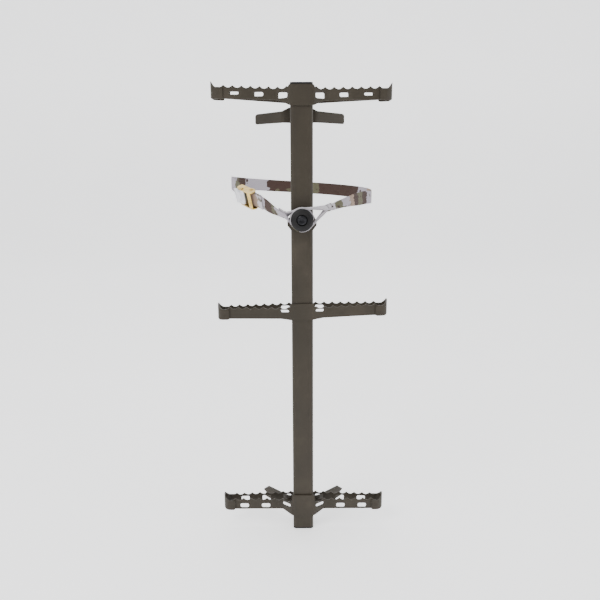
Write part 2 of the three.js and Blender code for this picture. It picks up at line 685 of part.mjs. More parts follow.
function makeLongStrap() {
  const heading = new THREE.Vector3(Math.cos(rightClimb), 0, Math.sin(rightClimb));
  const rear = new THREE.Vector3(0, 1, 0);
  const up = new THREE.Vector3(0, 0, 1);

  // Heights above the button at angles round the trunk, from where the strap touches it to just before it
  // leaves for the buckle.
  const firstTouch = THREE.MathUtils.radToDeg(rightTouch);
  const lastTouch = 180 - leaveEarly - THREE.MathUtils.radToDeg(leftTouch);
  const rises = new THREE.SplineCurve([[firstTouch, 30], [0, 31], [90, 45], [180, 58], [lastTouch, 49]]
    .map(([angle, rise]) => new THREE.Vector2(angle, rise)));
  const wrap = rises.getSpacedPoints(42).map(({ x: angle, y: rise }) => {
    const turn = degrees(angle);
    return station(new THREE.Vector3(
      strapRadius * Math.cos(turn), trunkCentreY + strapRadius * Math.sin(turn), buttonHeight + rise), up);
  });
  const reach = wrap[0].point;
  const reachHeading = wrap[1].point.clone().sub(reach).normalize();
  const run = openRun(bezier(rightMeet, heading, reach, reachHeading, 30), rear, up, rightTurn, 16);
  const lap = lapOn(run, lapLength, foldedThickness + fitGap).reverse();
  const lapEnd = lap[lap.length - 1].point;
  const loop = buttonLoop(rightLoopY, -1, rear, run[0].edge, lapEnd, rightMeet);
  const topLayer = strapLine + lapStep * 1.5;
  const through = [[-36, 3.6], [-23, strapLine], [-14, strapLine], [-5, strapLine], [2, strapLine + 0.6],
    [8, 7.4], [13, 9.3], [18, 9.3], [24, 8.2], [31, topLayer], [42, topLayer], [tailEnd, topLayer]]
    .map(([u, w]) => station(inBuckle(u, w), across));
  const stations = [...lap, ...loop, ...run, ...wrap.slice(1), ...through];
  addMesh('long_strap', stripGeometry(stations), webbing);
}

makeTube();
makeEndCap('bottom_end_cap', 0, true);
makeEndCap('top_end_cap', stickHeight - capFlange, false);
for (const level of ['bottom', 'middle', 'top']) {
  makeFrontPlate(level);
  makeRearPlate(level);
  makeEndClip(`${level}_left_clip`, level, -1);
  makeEndClip(`${level}_right_clip`, level, 1);
}
makeBracket('bottom');
makeBracket('top');
makeButton();
makeBuckleFrame();
makeCamLever();
makeCamSpring();
addMesh('cam_pin', pinAlongV(pinRadius, pinAt), zincYellow, buckle);
addMesh('strap_bar', pinAlongV(barRadius, barAt), zincYellow, buckle);
makeShortStrap();
makeLongStrap();

export default stick;
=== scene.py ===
import math
import random
from collections import namedtuple

import bmesh
import bpy
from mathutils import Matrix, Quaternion, Vector


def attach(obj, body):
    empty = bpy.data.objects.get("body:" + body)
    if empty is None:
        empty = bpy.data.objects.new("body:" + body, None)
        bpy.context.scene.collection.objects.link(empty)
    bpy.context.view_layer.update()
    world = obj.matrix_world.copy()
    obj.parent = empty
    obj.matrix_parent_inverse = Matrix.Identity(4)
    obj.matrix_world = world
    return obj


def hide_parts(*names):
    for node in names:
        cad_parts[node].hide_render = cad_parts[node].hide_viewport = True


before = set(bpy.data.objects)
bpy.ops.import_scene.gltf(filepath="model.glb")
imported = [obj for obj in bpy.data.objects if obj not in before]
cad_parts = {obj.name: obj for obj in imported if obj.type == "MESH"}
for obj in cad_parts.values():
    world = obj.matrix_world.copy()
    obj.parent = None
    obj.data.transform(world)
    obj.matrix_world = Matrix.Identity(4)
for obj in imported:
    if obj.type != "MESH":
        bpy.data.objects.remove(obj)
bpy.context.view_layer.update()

# ---- shared sizes, in millimetres above the tube's foot, as in the CAD source ----
GAP = 0.3                   # clearance between neighbouring solids
ORIGIN_HEIGHT = 392
TUBE_WIDTH = 38.1
TUBE_REAR_Y = -53.3
TUBE_FRONT_Y = -91.3
PLATE = 2.4                 # thickness of a step's plates
VALLEY = 17.5               # from a step's lower edge to the lowest line between its teeth
STEP_BOTTOMS = {"top": 785, "middle": 414.4, "bottom": 35.2}
BRACKET_TIP_X = 80
TOP_BRACKET = 761.3
BOTTOM_BRACKET = 31.5

BUTTON_HEIGHT = 590
CORE_RADIUS = 16.5
HEAD_FRONT_Y = -127.6
HEAD_RECESS = 3.2
BOLT_PAST_TUBE = 12.5       # how far the bolt's end stands behind the tube

WEB_HALF = 12.5
WEB_THICK = 2
FOLD_HALF = 6.2             # the webbing is folded in half where it loops over the button
FOLD_THICK = 3.6
TRUNK_RADIUS = 139
TRUNK_CENTRE_Y = math.sqrt(TRUNK_RADIUS ** 2 - BRACKET_TIP_X ** 2)
STRAP_RADIUS = TRUNK_RADIUS + 1.6
LEFT_LOOP_Y = -101.7
RIGHT_LOOP_Y = -114.5
LEFT_REACH = 30             # from the button's axis to where a loop's two legs meet
RIGHT_REACH = 44
LAP_LENGTH = 22
BACK_LAP_END = 52           # where the short strap's sewn end stops, along the buckle's u
TAIL_END = 55               # where the long strap's free tail stops
LEAVE_EARLY = 2             # degrees of the trunk's round before the buckle's straight line begins
LEFT_CLIMB = math.radians(12)
RIGHT_CLIMB = math.radians(23)
LEFT_TURN = 0.75            # share of a quarter turn that the webbing has made where the legs meet
RIGHT_TURN = 0.45
BUCKLE_ROLL = math.radians(18)
BUCKLE_CLIMB = math.radians(11)
STRAP_CLIMB = math.radians(13)
BUCKLE_DISTANCE = 130       # from where the left loop's legs meet
STRAP_LINE = 3.2            # height of the webbing's middle above the rear face of the buckle's base plate
LAP_STEP = WEB_THICK + GAP
BAR_U = 15
BAR_RADIUS = 2.5

# ---- sizes of the fine details, in millimetres ----
WEB_SPACING = 1.6           # between two rings of the webbing's skin
SECTION_POINTS = 15         # across each face of the webbing
RIB_PITCH = 1.3             # of the weave, along the webbing
CORD_PITCH = 2.1            # and across it
STITCH_SPACING = 1.2
STITCH_LENGTH = 1.9
ZIGZAG_LENGTH = 1.7
SEAM_MARGIN = 1.6           # from the webbing's edge to a row of stitches
THREAD_RADIUS = 0.28
THREAD_END_RADIUS = 0.12
THREAD_LIFT = 0.04
WELD_RADIUS = 1.3
RIPPLE_HEIGHT = 0.14
RIPPLE_PITCH = 1.7
WELD_SPACING = 0.5          # between two rings of a weld's skin
GRIP_COUNT = 5
GRIP_PITCH = 3.1
GRIP_RADIUS = 0.62
GRIP_SINK = 0.18            # how deep the ribs' middle lies in the thumb plate
THUMB_START = -29           # the thumb plate's outer end, along the buckle's u
THUMB_TOP = 18              # its face's height there, and how much that falls for every millimetre of u
THUMB_SLOPE = 0.1176

# ---- colours ----
COAT_DARK = (0.0205, 0.0155, 0.0094)
COAT_MIDDLE = (0.028, 0.0218, 0.0136)
COAT_LIGHT = (0.045, 0.036, 0.0245)
COAT_RUBBED = (0.08, 0.068, 0.05)
LILAC = (0.36, 0.33, 0.37)
PALE = (0.52, 0.49, 0.52)
OLIVE = (0.098, 0.092, 0.055)
MAROON = (0.045, 0.024, 0.018)
TAN = (0.28, 0.2, 0.15)
# painted shade: the dark colour that the webbing's weave is darkened towards
WEAVE_PAINTED_SHADE = (0.03, 0.028, 0.026)
THREAD_LIGHT = (0.5, 0.48, 0.46)

# ---- the straps' printed bands, in millimetres from where the loop's legs meet ----
SHORT_SPAN = (-150, 165)
LONG_SPAN = (-170, 880)
SHORT_BANDS = [(-150, PALE), (-66, MAROON), (-48, LILAC), (24, OLIVE), (36, MAROON), (66, LILAC)]
LONG_BANDS = [(-170, PALE), (-82, OLIVE), (-60, PALE), (19, OLIVE), (44, LILAC), (78, TAN), (98, MAROON)]
BAND_LIMIT = 30             # a colour ramp holds no more than 32 stops
TAIL_BAND = 48              # length of the pale band at a strap's far end


def row(point):
    """A point in millimetres above the tube's foot, as metres in the row frame."""
    return Vector((point[0], point[1], point[2] - ORIGIN_HEIGHT)) / 1000


def round_angles(count):
    return [2 * math.pi * k / count for k in range(count)]


# ---- materials ----
class Shader:
    """One material's node tree, with short names for the nodes it needs."""

    def __init__(self, name):
        self.material = bpy.data.materials.new(name)
        self.material.use_nodes = True
        self.tree = self.material.node_tree
        self.surface = self.tree.nodes["Principled BSDF"]

    def node(self, kind, **inputs):
        made = self.tree.nodes.new(kind)
        for key, value in inputs.items():
            self.feed(made, key.replace("_", " "), value)
        return made

    def feed(self, node, socket, value):
        if isinstance(value, bpy.types.NodeSocket):
            self.tree.links.new(value, node.inputs[socket])
        else:
            node.inputs[socket].default_value = value

    def place(self):
        return self.node("ShaderNodeTexCoord").outputs["Object"]

    def strip(self):
        return self.node("ShaderNodeTexCoord").outputs["UV"]

    def stretched(self, vector, scale):
        made = self.node("ShaderNodeMapping", Vector=vector)
        made.inputs["Scale"].default_value = scale
        return made.outputs["Vector"]

    def noise(self, vector, scale, detail, roughness=0.55):
        made = self.node("ShaderNodeTexNoise", Vector=vector, Scale=scale, Detail=detail, Roughness=roughness)
        return made.outputs["Fac"]

    def maths(self, operation, first, second=0.0):
        made = self.node("ShaderNodeMath")
        made.operation = operation
        self.feed(made, 0, first)
        self.feed(made, 1, second)
        return made.outputs[0]

    def ramp(self, factor, stops, smooth=True):
        made = self.node("ShaderNodeValToRGB", Fac=factor)
        made.color_ramp.interpolation = "LINEAR" if smooth else "CONSTANT"
        elements = made.color_ramp.elements
        while len(elements) < len(stops):
            elements.new(1.0)
        for element, (position, colour) in zip(elements, stops):
            element.position = position
            element.color = (*colour, 1)
        return made.outputs["Color"]

    def grey(self, factor, low, high, start=0.0, end=1.0):
        return self.ramp(factor, [(start, (low,) * 3), (end, (high,) * 3)])

    def mix(self, factor, first, second):
        made = self.node("ShaderNodeMix")
        made.data_type = "RGBA"
        self.feed(made, 0, factor)
        for slot, value in ((6, first), (7, second)):
            self.feed(made, slot, value if isinstance(value, bpy.types.NodeSocket) else (*value, 1))
        return made.outputs[2]

    def bump(self, height, strength, distance):
        made = self.node("ShaderNodeBump", Height=height, Strength=strength, Distance=distance)
        self.feed(self.surface, "Normal", made.outputs["Normal"])

    def finish(self, colour, roughness, metallic=0.0, **constants):
        self.feed(self.surface, "Base Color", colour)
        self.feed(self.surface, "Roughness", roughness)
        self.feed(self.surface, "Metallic", metallic)
        for socket, value in constants.items():
            self.surface.inputs[socket.replace("_", " ")].default_value = value
        return self.material


def powder_coat():
    """Olive-brown powder coat: a fine pebbled skin, faint dust in broad patches and a few rubbed places."""
    s = Shader("powder_coat")
    place = s.place()
    dust = s.noise(place, scale=14, detail=4)
    grain = s.noise(place, scale=900, detail=2)
    pebbles = s.noise(place, scale=260, detail=1)
    scuffs = s.noise(s.stretched(place, (60, 60, 9)), scale=6, detail=6, roughness=0.7)
    colour = s.ramp(dust, [(0.3, COAT_DARK), (0.55, COAT_MIDDLE), (0.78, COAT_LIGHT)])
    colour = s.mix(s.grey(grain, low=0, high=0.3, start=0.45, end=0.75), colour, COAT_LIGHT)
    colour = s.mix(s.grey(scuffs, low=0, high=0.35, start=0.66, end=0.74), colour, COAT_RUBBED)
    dulled = s.maths("ADD", dust, s.maths("MULTIPLY", grain, 0.25))
    roughness = s.grey(dulled, low=0.42, high=0.62, start=0.3, end=0.95)
    s.bump(s.maths("ADD", grain, s.maths("MULTIPLY", pebbles, 0.8)), strength=0.22, distance=0.0004)
    return s.finish(colour, roughness, Specular_IOR_Level=0.28)


def moulded_plastic(name, dark, light, smoothest, roughest, grain_scale):
    """Black moulded plastic with fine grain and a little handling dust."""
    s = Shader(name)
    place = s.place()
    dust = s.noise(place, scale=45, detail=4)
    grain = s.noise(place, scale=grain_scale, detail=2)
    colour = s.ramp(dust, [(0.35, dark), (0.75, light)])
    roughness = s.grey(dust, smoothest, roughest, start=0.3, end=0.8)
    s.bump(grain, strength=0.25, distance=0.0003)
    return s.finish(colour, roughness, Specular_IOR_Level=0.22)


def plated_metal(name, dark, middle, light, smoothest, roughest, brush):
    """Plated or brushed metal: streaks along one direction and slight blotches."""
    s = Shader(name)
    place = s.place()
    streaks = s.noise(s.stretched(place, brush), scale=40, detail=5, roughness=0.7)
    blotch = s.noise(place, scale=90, detail=3)
    mottle = s.maths("ADD", s.maths("MULTIPLY", streaks, 0.5), s.maths("MULTIPLY", blotch, 0.5))
    colour = s.ramp(mottle, [(0.32, dark), (0.5, middle), (0.7, light)])
    roughness = s.grey(mottle, smoothest, roughest, start=0.3, end=0.75)
    s.bump(streaks, strength=0.12, distance=0.0002)
    return s.finish(colour, roughness, metallic=1.0)


def camouflage(name, bands, span):
    """Woven webbing printed with irregular patches. bands lists where each band starts and its colour, and
    span is where the strap starts and ends, both in millimetres from where the loop's legs meet."""
    s = Shader(name)
    strip = s.strip()
    along = s.node("ShaderNodeSeparateXYZ", Vector=strip)
    wobble = s.noise(s.stretched(strip, (1, 1.3, 1)), scale=75, detail=2)
    shift = s.maths("MULTIPLY", s.maths("SUBTRACT", wobble, 0.5), 0.035)
    shifted = s.maths("ADD", along.outputs["X"], shift)
    first, last = span
    share = s.maths("DIVIDE", s.maths("SUBTRACT", shifted, first / 1000), (last - first) / 1000)
    stops = [((start - first) / (last - first), colour) for start, colour in bands]
    printed = s.ramp(share, stops, smooth=False)
    dark_patches = s.noise(strip, scale=58, detail=2)
    green_patches = s.noise(s.stretched(strip, (1, 1.6, 1)), scale=41, detail=1)
    printed = s.mix(s.grey(dark_patches, low=0, high=1, start=0.66, end=0.68), printed, MAROON)
    printed = s.mix(s.grey(green_patches, low=0, high=0.85, start=0.67, end=0.69), printed, OLIVE)

    ribs = s.maths("SINE", s.maths("MULTIPLY", along.outputs["X"], 2 * math.pi / (RIB_PITCH / 1000)))
    cords = s.maths("SINE", s.maths("MULTIPLY", along.outputs["Y"], 2 * math.pi / (CORD_PITCH / 1000)))
    weave = s.maths("MULTIPLY", ribs, cords)
    fibres = s.noise(s.stretched(strip, (1, 4, 1)), scale=1400, detail=2)
    # painted shade: the colour darkens along the weave's pattern, standing in for shade between the threads
    colour = s.mix(s.grey(weave, low=0, high=0.3, start=0.1, end=0.9), printed, WEAVE_PAINTED_SHADE)
    colour = s.mix(s.grey(fibres, low=0, high=0.1, start=0.5, end=0.75), colour, THREAD_LIGHT)
    s.bump(s.maths("ADD", weave, s.maths("MULTIPLY", fibres, 0.6)), strength=0.5, distance=0.0003)
    return s.finish(colour, s.grey(fibres, low=0.75, high=0.95), Sheen_Weight=0.02, Specular_IOR_Level=0.2)


def sewing_thread():
    """Dark thread with a fine twist."""
    s = Shader("sewing_thread")
    twist = s.noise(s.stretched(s.place(), (1, 1, 3)), scale=900, detail=2)
    colour = s.ramp(twist, [(0.3, (0.02, 0.018, 0.016)), (0.7, (0.075, 0.066, 0.058))])
    s.bump(twist, strength=0.4, distance=0.0002)
    return s.finish(colour, s.grey(twist, low=0.6, high=0.85))


def camouflage_bands(known, last, seed):
    """The bands near the button, as listed, then others in a fixed random order up to the far end."""
    chance = random.Random(seed)
    bands = list(known)
    position = known[-1][0] + 20
    step = (last - position) / (BAND_LIMIT - len(known))
    while len(bands) < BAND_LIMIT:
        colour = chance.choice([LILAC, OLIVE, PALE, MAROON, TAN, LILAC])
        bands.append((position + chance.uniform(0, 0.7) * step, colour))
        position += step
    return bands + [(last - TAIL_BAND, PALE)]


# ---- meshes ----
def add_piece(name, verts, faces, material, body="stick"):
    mesh = bpy.data.meshes.new(name)
    mesh.from_pydata([tuple(v) for v in verts], [], faces)
    mesh.update()
    mesh.polygons.foreach_set("use_smooth", [True] * len(mesh.polygons))
    piece = bpy.data.objects.new(name, mesh)
    bpy.context.scene.collection.objects.link(piece)
    mesh.materials.append(material)
    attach(piece, body)
    return piece


def finished_copy(node, material, width, body):
    """The CAD node's shape with its facets joined up and every sharp edge rounded over."""
    work = bmesh.new()
    work.from_mesh(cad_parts[node].data)
    bmesh.ops.remove_doubles(work, verts=work.verts, dist=2e-5)
    bmesh.ops.dissolve_limit(work, angle_limit=math.radians(0.8), verts=work.verts, edges=work.edges)
    bmesh.ops.recalc_face_normals(work, faces=work.faces)
    work.verts.index_update()
    verts = [v.co.copy() for v in work.verts]
    faces = [[v.index for v in f.verts] for f in work.faces]
    work.free()
    piece = add_piece(node + "_finished", verts, faces, material, body)
    rounding = piece.modifiers.new("rounding", "BEVEL")
    rounding.width = width / 1000
    rounding.segments = 2
    rounding.limit_method = "ANGLE"
    rounding.angle_limit = math.radians(32)
    rounding.use_clamp_overlap = True
    rounding.harden_normals = True
    shading = piece.modifiers.new("shading", "WEIGHTED_NORMAL")
    shading.keep_sharp = True
    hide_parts(node)


def skin_faces(rings, count, base=0):
    """Faces that join rings of count points each and close both ends. base is the first point's number."""
    faces = []
    for i in range(rings - 1):
        here = base + i * count
        for k in range(count):
            after = (k + 1) % count
            faces.append([here + k, here + after, here + count + after, here + count + k])
    last = base + (rings - 1) * count
    faces.append([base + k for k in range(count)][::-1])
    faces.append([last + k for k in range(count)])
    return faces


def swept(name, rings, material, body="stick"):
    """A closed skin over rings of points, each ring with the same number of points."""
    verts = [p for ring in rings for p in ring]
    return add_piece(name, verts, skin_faces(len(rings), len(rings[0])), material, body)


def weld_bead(name, start, end, outward, material):
    """A row of overlapping weld ripples from one point to the other, bulging along outward."""
    start, end, outward = Vector(start), Vector(end), Vector(outward).normalized()
    forward = (end - start).normalized()
    sideways = forward.cross(outward)
    length = (end - start).length
    steps = max(8, round(length / WELD_SPACING))
    chance = random.Random(round(start.x + 3 * start.y + 7 * start.z))
    drift = 0.0
    rings = []
    for i in range(steps + 1):
        along = length * i / steps
        ripple = RIPPLE_HEIGHT * abs(math.sin(math.pi * along / RIPPLE_PITCH))
        drift += chance.uniform(-0.05, 0.05)
        drift *= 0.9
        taper = min(1, 0.35 + min(i, steps - i) / 3)
        size = (WELD_RADIUS * (1 + drift) + ripple) * taper
        centre = start + forward * along
        rings.append([row(centre + outward * size * math.cos(a) * 0.8 + sideways * size * math.sin(a))
                      for a in round_angles(12)])
    swept(name, rings, material)


# ---- the webbing's path ----
# A station is a point of the strap's middle line, its upper edge's direction, half width and thickness. In a
# path, meet is the number of the station where the loop's legs meet, and lap is the sewn end beyond it.
Station = namedtuple("Station", "point edge half thickness")
StrapPath = namedtuple("StrapPath", "stations meet lap")


def touch_angle(x, y):
    """Where a straight strap from a point beside the button touches the trunk, counted from the +X side."""
    to_x, to_y = -x, TRUNK_CENTRE_Y - y
    heading = math.atan2(to_y, to_x) % (2 * math.pi)
    return heading - math.asin(STRAP_RADIUS / math.hypot(to_x, to_y)) - math.pi / 2


LEFT_MEET = Vector((-LEFT_REACH * math.cos(LEFT_CLIMB), LEFT_LOOP_Y,
                    BUTTON_HEIGHT + LEFT_REACH * math.sin(LEFT_CLIMB)))
RIGHT_MEET = Vector((RIGHT_REACH * math.cos(RIGHT_CLIMB), RIGHT_LOOP_Y,
                     BUTTON_HEIGHT + RIGHT_REACH * math.sin(RIGHT_CLIMB)))
LEFT_TOUCH = touch_angle(-LEFT_MEET.x, LEFT_MEET.y)
RIGHT_TOUCH = touch_angle(RIGHT_MEET.x, RIGHT_MEET.y)


def heading_down(climb):
    return Vector((-math.sin(LEFT_TOUCH) * math.cos(climb), -math.cos(LEFT_TOUCH) * math.cos(climb),
                   -math.sin(climb)))


# The buckle's own axes: u along the strap towards the button, v across the webbing, w away from the trunk.
ALONG = heading_down(BUCKLE_CLIMB)
OUTWARD = Vector((-math.cos(LEFT_TOUCH), math.sin(LEFT_TOUCH), 0))
ACROSS = OUTWARD.cross(ALONG)
ACROSS.rotate(Quaternion(ALONG, BUCKLE_ROLL))
OUTWARD.rotate(Quaternion(ALONG, BUCKLE_ROLL))
BUCKLE_ORIGIN = LEFT_MEET - heading_down(STRAP_CLIMB) * BUCKLE_DISTANCE - OUTWARD * STRAP_LINE


def in_buckle(u, w, v=0.0):
    return BUCKLE_ORIGIN + ALONG * u + ACROSS * v + OUTWARD * w


def station(point, edge, half=WEB_HALF, thickness=WEB_THICK):
    return Station(Vector(point), Vector(edge), half, thickness)


def blend_edges(first, last, turn):
    return (first * math.cos(turn * math.pi / 2) + last * math.sin(turn * math.pi / 2)).normalized()


def smoothstep(value, low, high):
    t = min(max((value - low) / (high - low), 0), 1)
    return t * t * (3 - 2 * t)


def frame_at(stations, i):
    """At one station: forward along the strap, edge towards its upper edge, normal out of its face."""
    before = stations[max(i - 1, 0)].point
    after = stations[min(i + 1, len(stations) - 1)].point
    forward = (after - before).normalized()
    edge = stations[i].edge
    edge = (edge - forward * edge.dot(forward)).normalized()
    return forward, edge, forward.cross(edge)


def bezier_points(start, leaving, end, arriving, pull, steps):
    """Points equally spaced along a cubic curve."""
    a, b, c, d = start, start + leaving * pull, end - arriving * pull, end
    fine_steps = 400
    fine = []
    for i in range(fine_steps + 1):
        t = i / fine_steps
        fine.append(a * (1 - t) ** 3 + b * 3 * t * (1 - t) ** 2 + c * 3 * t * t * (1 - t) + d * t ** 3)
    travelled = [0.0]
    for before, after in zip(fine, fine[1:]):
        travelled.append(travelled[-1] + (after - before).length)
    points = []
    at = 0
    for i in range(steps + 1):
        wanted = travelled[-1] * i / steps
        while at < fine_steps and travelled[at] < wanted:
            at += 1
        points.append(fine[at])
    return points


def hermite(start, end, leaving, arriving, t):
    """A point of the cubic from start to end with these slopes at its ends, t from 0 to 1."""
    return ((start * 2 - end * 2 + leaving + arriving) * t ** 3
            + (end * 3 - start * 3 - leaving * 2 - arriving) * t ** 2 + leaving * t + start)


def catmull_rom(points, t):
    """A point of the smooth curve through 2-D points, t from 0 to 1."""
    place = (len(points) - 1) * t
    i = min(int(place), len(points) - 2)
    p0, p1 = Vector(points[max(i - 1, 0)]), Vector(points[i])
    p2, p3 = Vector(points[i + 1]), Vector(points[min(i + 2, len(points) - 1)])
    return hermite(p1, p2, (p2 - p0) / 2, (p3 - p1) / 2, place - i)


def open_run(points, first_edge, last_edge, first_turn):
    """The run from where a loop's legs meet: the webbing unfolds and turns onto its edge."""
    stations = []
    steps = len(points) - 1
    for i, point in enumerate(points):
        spread = smoothstep(i / steps, 0, 0.85)
        stations.append(station(
            point, blend_edges(first_edge, last_edge, first_turn + (1 - first_turn) * spread),
            FOLD_HALF + (WEB_HALF - FOLD_HALF) * spread, FOLD_THICK + (WEB_THICK - FOLD_THICK) * spread))
    return stations


def lap_on(run):
    """The sewn end of a loop, from its tip to where it joins the loop. It lies on the run's first stretch."""
    lap = []
    for i, (point, _, half, thickness) in enumerate(run):
        if (point - run[0].point).length > LAP_LENGTH:
            break
        _, edge, normal = frame_at(run, i)
        lap.append(station(point + normal * (FOLD_THICK + GAP), edge, half, thickness))
    return lap[::-1]


def contact_angle(point, radius, side):
    """The angle round the button's axis at which a leg from this point touches a circle of this radius."""
    rise = point.z - BUTTON_HEIGHT
    return math.atan2(rise, point.x) + side * math.acos(radius / math.hypot(point.x, rise))


def button_loop(loop_y, turning, core_edge, meet_edge, leg_start, leg_end):
    """A folded webbing loop over the button: along the upper leg, round the core and back along the lower
    leg. turning is 1 clockwise and -1 anticlockwise, seen from the front."""
    radius = CORE_RADIUS + GAP + FOLD_THICK / 2
    first = contact_angle(leg_start, radius, -turning)
    last = contact_angle(leg_end, radius, turning)
    sweep = (turning * (first - last)) % (2 * math.pi)
    loop_steps = 16
    on_core = []
    for i in range(loop_steps + 1):
        angle = first - turning * sweep * i / loop_steps
        on_core.append(station(
            (radius * math.cos(angle), loop_y, BUTTON_HEIGHT + radius * math.sin(angle)),
            core_edge, FOLD_HALF, FOLD_THICK))

    def leg(leaves, meets):
        leg_steps = 7
        made = []
        for i in range(1, leg_steps):
            t = i / leg_steps
            edge = core_edge.lerp(meet_edge, t * t).normalized()
            made.append(station(leaves.lerp(meets, t), edge, FOLD_HALF, FOLD_THICK))
        return made

    return leg(on_core[0].point, leg_start)[::-1] + on_core + leg(on_core[-1].point, leg_end)


def short_strap_path():
    """From its sewn loop on the button to the buckle, round the buckle's bar and back under itself."""
    front = Vector((0, -1, 0))
    upper = STRAP_LINE + LAP_STEP / 2
    lower = STRAP_LINE - LAP_STEP / 2
    towards = -heading_down(STRAP_CLIMB)
    leaving = (Vector((-math.cos(LEFT_CLIMB), 0, math.sin(LEFT_CLIMB))) + towards).normalized()
    arrive = in_buckle(BACK_LAP_END + 6, upper)
    points = bezier_points(LEFT_MEET, leaving, arrive, towards, pull=12, steps=12)
    run = open_run(points, front, ACROSS, LEFT_TURN)
    lap = lap_on(run)
    loop = button_loop(LEFT_LOOP_Y, 1, front, run[0].edge, lap[-1].point, LEFT_MEET)
    fold = BAR_RADIUS + GAP + WEB_THICK / 2
    around = []
    fold_steps = 8
    for i in range(fold_steps + 1):
        angle = math.radians(75 + 210 * i / fold_steps)
        around.append((BAR_U + fold * math.cos(angle), STRAP_LINE + fold * math.sin(angle)))
    lead = [(44, upper), (31, upper), (24, 5.3)]
    back = [(24, 0.9), (31, lower), (40, lower), (BACK_LAP_END, lower)]
    flat = [station(in_buckle(u, w), ACROSS) for u, w in lead + around + back]
    return StrapPath(lap + loop + run + flat, len(lap) + len(loop), lap)


def long_strap_path():
    """From its sewn loop on the button round the trunk and through the cam to the free tail."""
    heading = Vector((math.cos(RIGHT_CLIMB), 0, math.sin(RIGHT_CLIMB)))
    rear = Vector((0, 1, 0))
    up = Vector((0, 0, 1))
    first_touch = math.degrees(RIGHT_TOUCH)
    last_touch = 180 - LEAVE_EARLY - math.degrees(LEFT_TOUCH)
    rises = [(first_touch, 30), (0, 31), (90, 45), (180, 58), (last_touch, 49)]
    wrap_steps = 60
    wrap = []
    for i in range(wrap_steps + 1):
        angle, rise = catmull_rom(rises, i / wrap_steps)
        turn = math.radians(angle)
        wrap.append(station((STRAP_RADIUS * math.cos(turn), TRUNK_CENTRE_Y + STRAP_RADIUS * math.sin(turn),
                             BUTTON_HEIGHT + rise), up))
    reach = wrap[0].point
    arriving = (wrap[1].point - reach).normalized()
    points = bezier_points(RIGHT_MEET, heading, reach, arriving, pull=30, steps=16)
    run = open_run(points, rear, up, RIGHT_TURN)
    lap = lap_on(run)
    loop = button_loop(RIGHT_LOOP_Y, -1, rear, run[0].edge, lap[-1].point, RIGHT_MEET)
    top = STRAP_LINE + LAP_STEP * 1.5
    through = [(-36, 3.6), (-23, STRAP_LINE), (-14, STRAP_LINE), (-5, STRAP_LINE), (2, STRAP_LINE + 0.6),
               (8, 7.4), (13, 9.3), (18, 9.3), (24, 8.2), (31, top), (42, top), (TAIL_END, top)]
    flat = [station(in_buckle(u, w), ACROSS) for u, w in through]
    return StrapPath(lap + loop + run + wrap[1:] + flat, len(lap) + len(loop), lap)


def resampled(stations, spacing):
    """The same path as stations close together, smoothly curved through the given ones, and the number that
    each given station has among them."""
    dense = []
    marks = []
    for i in range(len(stations) - 1):
        before, here = stations[max(i - 1, 0)], stations[i]
        there, after = stations[i + 1], stations[min(i + 2, len(stations) - 1)]
        limit = (there.point - here.point).length
        leaving, arriving = (there.point - before.point) / 2, (after.point - here.point) / 2
        leaving *= min(1, limit / max(leaving.length, 1e-6))
        arriving *= min(1, limit / max(arriving.length, 1e-6))
        steps = max(1, round(limit / spacing))
        marks.append(len(dense))
        for k in range(steps):
            t = k / steps
            point = hermite(here.point, there.point, leaving, arriving, t)
            edge = here.edge.lerp(there.edge, t).normalized()
            half = here.half + (there.half - here.half) * t
            thickness = here.thickness + (there.thickness - here.thickness) * t
            dense.append(station(point, edge, half, thickness))
    marks.append(len(dense))
    dense.append(stations[-1])
    return dense, marks


# ---- webbing ----
def webbing_section(half, thickness):
    """The webbing's cross-section, anticlockwise: across and through. It thins towards its edges and has
    shallow ribs, and folded webbing has a groove between its two layers along one edge."""
    folded = min(max((WEB_HALF - half) / (WEB_HALF - FOLD_HALF), 0), 1)
    top = thickness / 2
    upper = []
    for k in range(SECTION_POINTS):
        share = -1 + 2 * k / (SECTION_POINTS - 1)
        near_edge = abs(share) ** 10
        lift = top * (0.94 - 0.34 * near_edge) + 0.03 * math.cos(share * 22)
        upper.append((share * (half - 0.12 * thickness), min(lift, top)))
    groove = -half + 0.3 + 2.2 * folded
    lower = [(x, -z) for x, z in reversed(upper)]
    return [(groove, 0), *upper, (half, 0), *lower]


def webbing_piece(name, node, path, material):
    """The webbing's skin. Its UV is metres along from where the loop's legs meet, and metres across."""
    dense, marks = resampled(path.stations, WEB_SPACING)
    travelled = [0.0]
    for before, after in zip(dense, dense[1:]):
        travelled.append(travelled[-1] + (after.point - before.point).length)
    zero = travelled[marks[path.meet]]
    sections = [webbing_section(here.half, here.thickness) for here in dense]
    pinched_end = 0.82
    rings = []
    for i, section in enumerate(sections):
        _, edge, normal = frame_at(dense, i)
        squeeze = pinched_end if i in (0, len(dense) - 1) else 1
        rings.append([row(dense[i].point + edge * x + normal * z * squeeze) for x, z in section])
    piece = swept(name, rings, material)
    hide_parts(node)
    uv = piece.data.uv_layers.new(name="strip")
    for polygon in piece.data.polygons:
        for loop in polygon.loop_indices:
            ring, k = divmod(piece.data.loops[loop].vertex_index, len(rings[0]))
            uv.data[loop].uv = ((travelled[ring] - zero) / 1000, sections[ring][k][0] / 1000)


def add_stitch(verts, faces, centre, direction, up, length):
    """One stitch: a thread that lies on the webbing and narrows to both ends."""
    side = direction.cross(up)
    base = len(verts)
    ends = (-0.5, -0.2, 0.2, 0.5)
    for end in ends:
        size = THREAD_RADIUS if abs(end) < 0.4 else THREAD_END_RADIUS
        for a in round_angles(6):
            verts.append(row(centre + direction * end * length + side * size * math.cos(a)
                             + up * (size * math.sin(a) + THREAD_LIFT)))
    faces += skin_faces(len(ends), 6, base)


